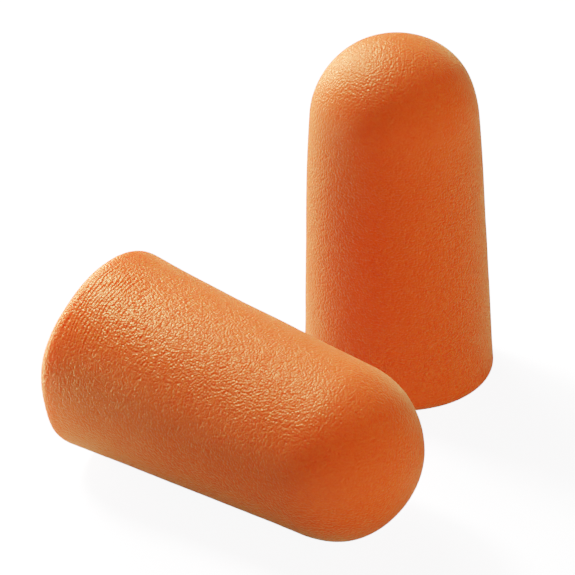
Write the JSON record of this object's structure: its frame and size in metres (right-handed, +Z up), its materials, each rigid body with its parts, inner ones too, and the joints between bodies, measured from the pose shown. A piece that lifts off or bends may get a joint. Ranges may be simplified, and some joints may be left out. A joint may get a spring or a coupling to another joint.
{
  "type": "foam ear plugs",
  "caption": "Loose soft foam ear plugs without a cord, tapered, with a round dome at the narrow end and a flat base, for blocking noise in an ear canal.",
  "frame": {"origin": "middle of the pair's footprint, on the surface that both plugs rest on", "axes": "+Z up, along the standing plug's own axis from its base to its dome; +X to the right and +Y away as seen from the front, with the lying plug's dome pointing forwards and to the right, 39.5 degrees from +X towards -Y"},
  "size_m": [0.0304, 0.0327, 0.025],
  "materials": {
    "orange_foam": "soft slow-recovery polyurethane foam with a smooth moulded skin, satin, finely wrinkled"
  },
  "bodies": {
    "standing_plug": {"standing_plug": "orange_foam"},
    "lying_plug": {"lying_plug": "orange_foam"}
  },
  "joints": [
    {"name": "lying_plug_lift", "type": "slide", "parent": "standing_plug", "child": "lying_plug", "axis": [0, 0, 1], "range_m": [0, 0.03]}
  ]
}
